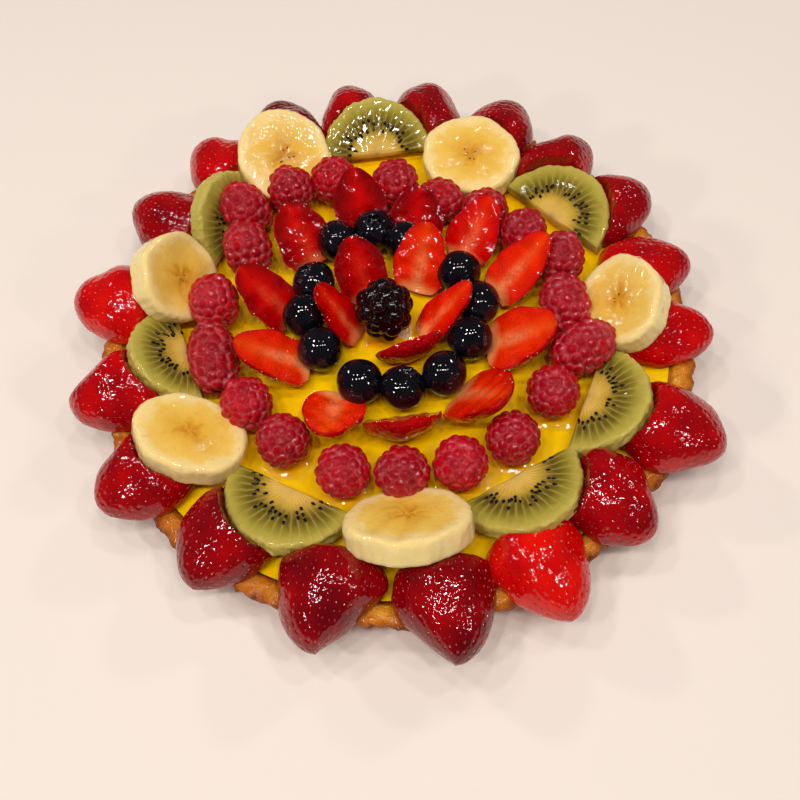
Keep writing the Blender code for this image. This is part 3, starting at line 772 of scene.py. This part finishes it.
for number, berries in enumerate(RASPBERRY_LAY, 1):
    name = f"raspberry_run_{number}"
    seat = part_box(name)[0].z
    middles, sizes, outs, body_points, body_faces, body_count, tones = [], [], [], [], [], 0, []
    for place, (bearing, distance, length, lean, way) in enumerate(berries):
        width = 21.6 * MM
        turn = np.array(Matrix.Rotation(math.radians(way), 3, "Z") @ Matrix.Rotation(math.radians(lean), 3, "Y"))
        beads, bead_sizes = beaded(width, length * MM, 5.0 * MM, 3.6 * MM, 500 + 10 * number + place)
        ways_out = beads * (1, 1, (width / length / MM) ** 2) @ turn.T
        beads = beads @ turn.T
        body, body_part = berry_body(width, length * MM, 2.1 * MM)
        body = body @ turn.T
        low = (beads[:, 2] - bead_sizes).min()
        spot = np.array((distance * MM * math.cos(math.radians(bearing)), distance * MM * math.sin(math.radians(bearing)), seat - low))
        beads += spot
        body += spot
        room = room_under(petals_above, beads, seat - 0.2 * MM)
        clear = beads[:, 2] < room - 0.4 * MM
        middles.append(beads[clear])
        sizes.append(bead_sizes[clear])
        outs.append(ways_out[clear])
        tones.append(np.full(clear.sum(), 0.5 + 0.12 * math.sin(7 * number + 3 * place)))
        body_room = room_under(petals_above, body, seat - 0.2 * MM) - 0.6 * MM
        body[:, 2] = np.maximum(np.minimum(body[:, 2], body_room), seat)
        body_points.append(body)
        body_faces += [tuple(index + body_count for index in face) for face in body_part]
        body_count += len(body)
    points, faces, groove = bead_shells(np.concatenate(middles), np.concatenate(sizes), np.concatenate(outs), 12)
    per_bead = len(points) // len(np.concatenate(sizes))
    beads = piece(f"raspberry_beads_{number}", points, faces, raspberry, tone=np.repeat(np.concatenate(tones), per_bead), groove=groove)
    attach(beads, "root")
    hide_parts(name)
    bodies = piece(f"raspberry_bodies_{number}", np.concatenate(body_points), body_faces, raspberry_gap)
    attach(bodies, "root")


# ---------------------------------------------------------------- strawberry petals
# Thick slices from the sides of strawberries stand on their hulled ends in two rings and lean
# outwards like petals, cut face up. The cut flesh is orange-red with pale veins that run out
# from a white streak, and the skin with its seeds shows round the edge.

petal_flesh, tree, shader = new_finish("strawberry_flesh", 0.35, coat=1.0, coat_roughness=0.03)
along, across, tone = label_of(tree, "along"), label_of(tree, "across"), label_of(tree, "tone")
off_middle = add_node(tree, "ShaderNodeMath", {0: across}, operation="ABSOLUTE").outputs["Value"]
red = shades(tree, sum_of(tree, sum_of(tree, sum_of(tree, 0.55, off_middle, 0.4), tone, -0.6), blotches(tree, 4 * MM, 4), 0.25),
             (0.0, paint(246, 80, 4)), (0.3, paint(240, 40, 0)), (0.6, paint(214, 2, 0)), (0.85, paint(160, 0, 2)), (1.0, paint(120, 0, 6)))
wisps = blotches(tree, 5 * MM, 5)
vein = sum_of(tree, sum_of(tree, times(tree, along, 80.0), off_middle, -34.0), wisps, 40.0)
vein = add_node(tree, "ShaderNodeMath", {0: vein}, operation="SINE").outputs["Value"]
rim_ward = times(tree, fade(tree, off_middle, 0.2, 0.6), fade(tree, vein, 0.2, 1.0, 0.0, 0.3))
red = blend_colours(tree, rim_ward, red, paint(186, 6, 4))
core_wisps = fade(tree, sum_of(tree, blotches(tree, 1.3 * MM, 4, (1, 1, 1)), wisps, 0.8), 0.72, 1.1)
core = times(tree, times(tree, fade(tree, off_middle, 0.4, 0.0), fade(tree, along, 0.85, 0.35)), sum_of(tree, 0.3, core_wisps, 0.7))
red = blend_colours(tree, times(tree, core, times(tree, tone, 0.8)), red, paint(240, 140, 90))
foot = times(tree, fade(tree, sum_of(tree, sum_of(tree, along, off_middle, 0.1), wisps, 0.12), 0.3, 0.12), sum_of(tree, 0.25, tone, 0.6))
red = blend_colours(tree, foot, red, paint(244, 160, 92))
outside = shades(tree, sum_of(tree, blotches(tree, 10 * MM), tone, 0.3), (0.3, paint(132, 0, 12)), (0.9, paint(206, 4, 10)))
rind = fade(tree, off_middle, 0.9, 0.985)
red = blend_colours(tree, rind, red, outside)
tree.links.new(blend_colours(tree, label_of(tree, "skin"), red, outside), shader.inputs["Base Color"])
shader.inputs["Subsurface Weight"].default_value = 0.2
shader.inputs["Subsurface Radius"].default_value = (1.0, 0.15, 0.06)
shader.inputs["Subsurface Scale"].default_value = 2.0 * MM
relief(tree, shader, sum_of(tree, times(tree, vein, 0.4), blotches(tree, 1.5 * MM, 3), 1.2), 0.12 * MM)
relief(tree, shader, blotches(tree, 3.4 * MM, 1.5), 0.55 * MM, "Coat Normal")


def lay_petals(prefix, lay, thickness, seed_points_so_far, seed_faces_so_far):
    """Makes the petals of one ring: yaw, lean, length and width (mm) and brightness of each."""
    for number, (yaw, lean, length, width, tone) in enumerate(lay, 1):
        name = f"{prefix}_petal_{number}"
        length, width = length * MM, width * MM
        rings, along, across = half_berry(length, width, thickness, 52, 40, 20)
        points, faces = loft(rings)
        along = np.append(along, (0, 1))
        across = np.append(across, (0, 0))
        dome = points[:, 2] > 0.01 * MM
        normals = np.stack([(along - 0.35) * length * 0.6, points[:, 1] * thickness / (width / 2), points[:, 2] * width / 2 / thickness], axis=-1)
        normals /= np.maximum(np.linalg.norm(normals, axis=1), 1e-9)[:, None]
        spots, ups, ways = seed_spots(length, width, thickness, 3.8 * MM, 600 + 20 * len(prefix) + number, lowest=0.05)
        dented, pit = pitted(points, normals, spots, 1.4 * MM, 0.45 * MM)
        points = np.where(dome[:, None], dented, points)
        points[:, 1:] *= 1 + ((0.6 * uneven(points * (1, 1, 0.4), 14 * MM, number) - 0.5) * MM / (width / 2))[:, None]
        hollow = np.clip(1 - np.abs(across), 0, 1) * np.clip(along * 4, 0, 1) * np.clip((1 - along) * 4, 0, 1)
        points[:, 2] += ~dome * (0.5 * hollow + 0.25 * uneven(points, 7 * MM, 30 + number)) * MM
        skin_share = np.clip(points[:, 2] / (0.9 * MM), 0, 1) * dome
        spots = spots - ups * 0.34 * MM
        flip = np.diag((1.0, -1.0, -1.0))
        turn = turned_out(yaw, lean) @ flip
        points = points @ turn.T
        shift = settle(points, name, yaw, "high")
        points += shift
        grid = points[:52 * 60].reshape(52, 60, 3)
        petal_rims.append(np.concatenate([grid[4:50, 39], grid[4:50, 0]]))
        made = piece(f"{prefix}_strawberry_petal_{number}", points, faces, petal_flesh, along=along, across=across, tone=tone, skin=skin_share)
        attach(made, "root")
        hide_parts(name)
        seed_points, seed_faces = grains(spots @ turn.T + shift, ups @ turn.T, ways @ turn.T, 1.0 * MM, 0.55 * MM, 0.44 * MM)
        start = sum(len(part) for part in seed_points_so_far)
        seed_faces_so_far += [tuple(index + start for index in face) for face in seed_faces]
        seed_points_so_far.append(seed_points)


RING_LAY = ((99, 45, 28, 24, 0.0), (74, 42, 23, 24, 0.0), (50, 42, 28, 22, 0.6), (28, 42, 33, 21, 0.9), (348, 40, 31, 27, 1.0), (316, 50, 33, 27, 0.9),
            (272, 60, 22, 30, 0.4), (258, 34, 30, 24, 1.0), (178, 40, 33, 22, 1.0), (150, 48, 31, 22, 0.25), (118, 48, 28, 24, 0.15))
INNER_LAY = ((108, 50, 27, 23, 0.1), (66, 50, 29, 23, 0.9), (22, 45, 31, 15, 0.8), (285, 66, 18, 28, 0.4), (148, 60, 31, 15, 0.5))
petal_seed_points, petal_seed_faces, petal_rims = [], [], []
lay_petals("ring", RING_LAY, 8.5 * MM, petal_seed_points, petal_seed_faces)
lay_petals("inner", INNER_LAY, 7.5 * MM, petal_seed_points, petal_seed_faces)
seeds = piece("petal_seeds", np.concatenate(petal_seed_points), petal_seed_faces, seed_finish)
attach(seeds, "root")


# ---------------------------------------------------------------- blueberries
# Whole blueberries in a ring round the middle, most with the crown up: a low five-pointed
# frill round a shallow pit. Under the jelly they look almost black.

blueberry_skin, tree, shader = new_finish("blueberry_skin", 0.3, coat=1.0, coat_roughness=0.04)
tree.links.new(shades(tree, sum_of(tree, blotches(tree, 6 * MM, 4), label_of(tree, "crown"), 0.3), (0.3, paint(6, 5, 9)), (0.7, paint(16, 14, 22)), (1.0, paint(40, 40, 50))), shader.inputs["Base Color"])
relief(tree, shader, blotches(tree, 1.4 * MM, 3), 0.1 * MM)
relief(tree, shader, blotches(tree, 5 * MM, 2), 0.35 * MM, "Coat Normal")

BLUEBERRY_LAY = (
    ((115, 45.4, 120, 200), (95, 45.6, 8, 280), (77.3, 38, 105, 60)),
    ((35.5, 34.5, 115, 100), (8.3, 34.2, 140, 20), (339.5, 30.8, 125, 90)),
    ((305, 30.5, 110, 130), (272.8, 29.2, 38, 60), (240.3, 29, 150, 100)),
    ((198, 30.2, 130, 80), (169.5, 34.7, 110, 90), (144, 37, 30, 150)),
)
for number, berries in enumerate(BLUEBERRY_LAY, 1):
    name = f"blueberry_run_{number}"
    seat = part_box(name)[0].z
    all_points, all_faces, crowns, count = [], [], [], 0
    for place, (bearing, distance, lean, way) in enumerate(berries):
        radius = 8.8 * MM
        turn_about = np.linspace(0, math.tau, 42, endpoint=False)
        frill = 1 + 0.16 * np.cos(5 * turn_about + place)
        rings = []
        for share, level in ((0.05, 0.70), (0.14, 0.70), (0.22, 0.74), (0.27, 0.86), (0.31, 0.965), (0.34, 0.97), (0.37, 0.915)):
            rings.append((radius * share * frill, radius * level * 0.92))
        for up in np.linspace(66, -88, 34):
            rings.append((radius * math.cos(math.radians(up)) * np.ones(42), radius * 0.92 * math.sin(math.radians(up))))
        rings = np.array([np.stack([girth * np.cos(turn_about), girth * np.sin(turn_about), np.full(42, level)], axis=1) for girth, level in rings])
        points, faces = loft(rings)
        crown = np.clip((points[:, 2] - 0.86 * 0.92 * radius) / (0.06 * radius), 0, 1) * (np.hypot(points[:, 0], points[:, 1]) < 0.42 * radius)
        points *= (1 + 0.012 * uneven(points, 12 * MM, 90 + 4 * number + place))[:, None]
        turn = np.array(Matrix.Rotation(math.radians(way), 3, "Z") @ Matrix.Rotation(math.radians(lean), 3, "Y"))
        points = points @ turn.T
        points += (distance * MM * math.cos(math.radians(bearing)), distance * MM * math.sin(math.radians(bearing)), seat - points[:, 2].min())
        all_points.append(points)
        all_faces += [tuple(index + count for index in face) for face in faces]
        count += len(points)
        crowns.append(crown)
    berries = piece(f"blueberries_{number}", np.concatenate(all_points), all_faces, blueberry_skin, crown=np.concatenate(crowns))
    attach(berries, "root")
    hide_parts(name)


# ---------------------------------------------------------------- centre berry
# One large dark berry stands in the middle: round beads twice the size of a raspberry's,
# almost black, swollen and very glossy.

dark_skin, tree, shader = new_finish("dark_berry", 0.22, coat=1.0, coat_roughness=0.03)
tree.links.new(shades(tree, blotches(tree, 6 * MM, 3), (0.3, paint(7, 1, 3)), (0.6, paint(16, 1, 5)), (0.85, paint(56, 2, 12))), shader.inputs["Base Color"])
relief(tree, shader, blotches(tree, 2 * MM, 2), 0.15 * MM)
relief(tree, shader, blotches(tree, 5 * MM, 2), 0.5 * MM, "Coat Normal")
low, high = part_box("centre_bramble")
berry_width = min(high.x - low.x, high.y - low.y) - 1.4 * MM
berry_length = high.z - low.z - 0.6 * MM
middles, sizes = beaded(berry_width, berry_length, 8.2 * MM, 5.6 * MM, 700)
body, body_faces = berry_body(berry_width, berry_length, 2.6 * MM)
spot = np.array(((low.x + high.x) / 2, (low.y + high.y) / 2, (low.z + high.z) / 2))
points, faces, groove = bead_shells(middles + spot, sizes, middles, 20)
faces = faces + [tuple(index + len(points) for index in face) for face in body_faces]
points = np.concatenate([points, body + spot])
centre = piece("dark_centre_berry", points, faces, dark_skin)
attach(centre, "root")
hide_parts("centre_bramble")


# ---------------------------------------------------------------- painted glints
# Pin-head beads, 0.3 to 0.7 mm across, lie along the fruit's feet on the custard and along the cut
# rims of the strawberry petals. Their near-white colour is painted highlight: it stands for the glints of the wet
# jelly.

glint_bead_paint, tree, shader = new_finish("painted_glint_bead", 0.15, coat=1.0, coat_roughness=0.02)
# painted highlight: the beads are near white so they read as glints under any light
tree.links.new(shades(tree, blotches(tree, 8 * MM), (0.3, paint(255, 226, 180)), (0.7, paint(255, 250, 240))), shader.inputs["Base Color"])
dice = np.random.default_rng(900)
spots, sizes = [], []
foot_points = np.argwhere((nearness > 0.55) & on_top).ravel()
for index in dice.permutation(foot_points)[:2000]:
    spot = custard_points[index] + (*dice.uniform(-0.4, 0.4, 2) * MM, 0)
    if math.sin(spot[0] / (3.1 * MM)) + math.sin(spot[1] / (2.3 * MM) + spot[0] / (7 * MM)) > 0.1:
        spots.append(spot)
        sizes.append(dice.uniform(0.15, 0.34) * MM)
# painted highlight: a few white beads along each petal rim stand for the glints of its seeds and cut edge
for rim in petal_rims:
    for spot in rim[dice.permutation(len(rim))[:12]]:
        spots.append(spot + dice.normal(size=3) * 0.25 * MM)
        sizes.append(dice.uniform(0.1, 0.24) * MM)
spots, sizes = np.array(spots), np.array(sizes)
ball = np.array([(0, 0, 1)] + [(math.cos(lift) * math.cos(a), math.cos(lift) * math.sin(a), math.sin(lift))
                              for lift in (0.6, -0.3, -1.0) for a in np.arange(6) * math.tau / 6] + [(0, 0, -1)])
ball_faces = []
for step in range(6):
    ahead = (step + 1) % 6
    ball_faces.append((0, 1 + step, 1 + ahead))
    ball_faces += [(1 + 6 * row + step, 7 + 6 * row + step, 7 + 6 * row + ahead, 1 + 6 * row + ahead) for row in (0, 1)]
    ball_faces.append((19, 13 + ahead, 13 + step))
points = (spots[:, None] + ball[None] * sizes[:, None, None]).reshape(-1, 3)
faces = [tuple(index + start for index in face) for start in range(0, len(points), len(ball)) for face in ball_faces]
glint_beads = piece("painted_glint_beads", points, faces, glint_bead_paint)
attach(glint_beads, "root")


# ---------------------------------------------------------------- floor, lights and camera
# A plain pale floor, a faint glow from all round and twelve small lamps that light the tart and sparkle in the jelly.

floor_paint, tree, shader = new_finish("floor_paint", 0.9)
tree.links.new(shades(tree, blotches(tree, 300 * MM), (0.3, paint(237, 225, 216)), (0.7, paint(239, 227, 218))), shader.inputs["Base Color"])
shader.inputs["Specular IOR Level"].default_value = 0.1
half = 3.0
floor = piece("floor", [(-half, -half, 0), (half, -half, 0), (half, half, 0), (-half, half, 0)], [(0, 1, 2, 3)], floor_paint)

world = bpy.data.worlds.new("studio")
bpy.context.scene.world = world
world.use_nodes = True
world.node_tree.nodes["Background"].inputs["Color"].default_value = (1, 0.97, 0.93, 1)
world.node_tree.nodes["Background"].inputs["Strength"].default_value = 0.08


def studio_light(name, place, size, power, colour=(1, 0.97, 0.93)):
    """A square light at a place in metres, facing the tart."""
    lamp = bpy.data.lights.new(name, "AREA")
    lamp.size = size
    lamp.energy = power
    lamp.color = colour
    held = bpy.data.objects.new(name, lamp)
    held.location = place
    held.rotation_euler = (Vector((0, 0, 0.03)) - Vector(place)).to_track_quat("-Z", "Y").to_euler()
    bpy.context.scene.collection.objects.link(held)


for number, (x, y, z, size, power) in enumerate((
        (-0.62, -0.3, 1.25, 0.09, 2.5), (-0.31, -0.34, 1.3, 0.09, 2.3), (0.0, -0.36, 1.32, 0.09, 2.2),
        (0.31, -0.34, 1.3, 0.09, 2.2), (0.62, -0.3, 1.25, 0.09, 1.8), (-0.5, 0.15, 1.3, 0.08, 1.9),
        (-0.1, 0.12, 1.35, 0.08, 1.5), (0.4, 0.15, 1.3, 0.08, 1.4), (-0.85, 0.6, 0.9, 0.09, 2.0),
        (0.85, 0.6, 0.9, 0.09, 1.3), (-0.9, -0.7, 0.8, 0.1, 2.2), (0.9, -0.7, 0.8, 0.1, 1.5))):
    studio_light(f"shop_lamp_{number}", (x, y, z), size, power)

camera = bpy.data.cameras.new("camera")
camera.lens = 39.27
camera.sensor_width = 36
camera.clip_start = 0.01
holder = bpy.data.objects.new("camera", camera)
elevation, distance, roll = math.radians(62.97), 0.3576, math.radians(-5.31)
aim = Vector((0, -0.0187, 0))
away = Vector((0, -math.cos(elevation), math.sin(elevation)))
turn = Matrix.Rotation(math.pi / 2 - elevation, 4, "X") @ Matrix.Rotation(roll, 4, "Z")
holder.matrix_world = Matrix.Translation(aim + away * distance) @ turn
bpy.context.scene.collection.objects.link(holder)
bpy.context.scene.camera = holder
bpy.context.scene.view_settings.view_transform = "Standard"
